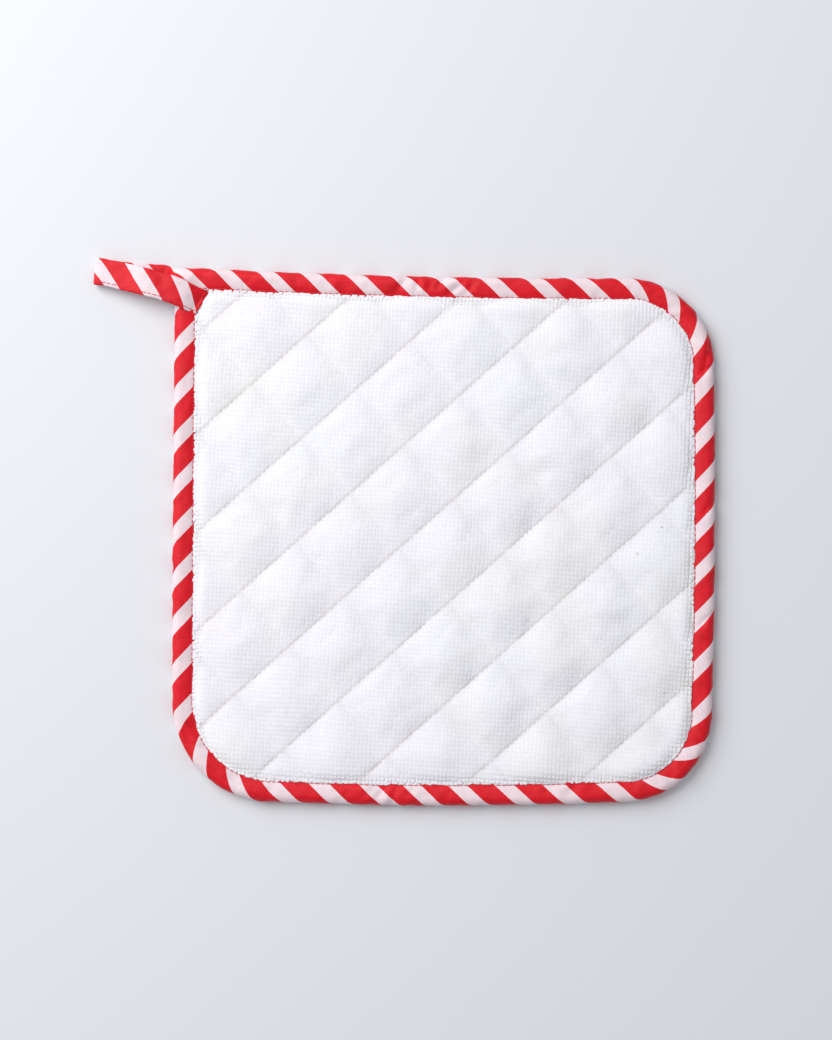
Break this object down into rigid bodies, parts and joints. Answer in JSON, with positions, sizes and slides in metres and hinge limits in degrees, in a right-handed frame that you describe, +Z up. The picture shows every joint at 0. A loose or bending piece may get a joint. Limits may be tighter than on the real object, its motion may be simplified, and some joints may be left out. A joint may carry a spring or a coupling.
{
  "type": "quilted pot holder",
  "caption": "Square diamond-quilted terry pad with softly rounded corners, edged in folded striped tape whose tail forms a hanging loop at one corner.",
  "frame": {"origin": "on the surface that the pad lies on, near the middle of the pad, on a flat land of its underside", "axes": "+Z up out of the pad's face, +X to the right along the upper and lower sides, +Y towards the side that ends in the hanging loop"},
  "size_m": [0.2322, 0.2046, 0.0084],
  "materials": {
    "terry": "off-white cotton terry with short uneven loops, quilted",
    "striped_tape": "plain-woven cotton tape, slanting red and white stripes, matt"
  },
  "bodies": {
    "root": {"quilted_pad": "terry", "binding": "striped_tape", "hanging_loop": "striped_tape"}
  },
  "joints": []
}
